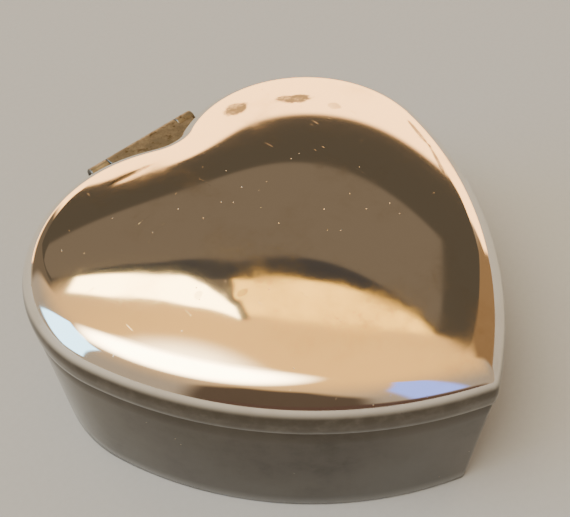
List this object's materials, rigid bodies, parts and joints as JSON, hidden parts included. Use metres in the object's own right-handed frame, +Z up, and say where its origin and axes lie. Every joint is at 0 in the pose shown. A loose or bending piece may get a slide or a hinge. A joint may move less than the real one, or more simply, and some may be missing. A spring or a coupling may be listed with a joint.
{
  "type": "heart-shaped trinket box",
  "caption": "Low heart-shaped metal trinket box: domed lid hinged at the notch, velvet-lined inside, felt underneath.",
  "frame": {"origin": "under the middle of the whole box, hinge included, on the surface that it stands on", "axes": "+X to the right of the heart, +Y from the tip towards the notch and hinge, +Z up"},
  "size_m": [0.08, 0.0822, 0.0369],
  "materials": {
    "silver_plate": "polished silver plate on a zinc casting, lightly tarnished",
    "hinge_metal": "dull tarnished plate",
    "steel_pin": "drawn wire",
    "velvet": "dark blue velvet pile",
    "felt": "thin black felt",
    "wadding": "polyester wadding",
    "card": "grey-brown board"
  },
  "bodies": {
    "base": {"base_shell": "silver_plate", "underside_felt": "felt", "wall_lining_card": "card", "wall_lining_velvet": "velvet", "floor_pad_card": "card", "floor_pad_wadding": "wadding", "floor_pad_velvet": "velvet", "hinge_base_leaf": "hinge_metal", "hinge_pin": "steel_pin"},
    "lid": {"lid_shell": "silver_plate", "hinge_lid_leaf": "hinge_metal", "lid_pad_card": "card", "lid_pad_wadding": "wadding", "lid_pad_velvet": "velvet"}
  },
  "joints": [
    {"name": "lid_hinge", "type": "hinge", "parent": "base", "child": "lid", "pos_m": [0, 0.03957, 0.02508], "axis": [-1, 0, 0], "range_deg": [0, 100]}
  ]
}
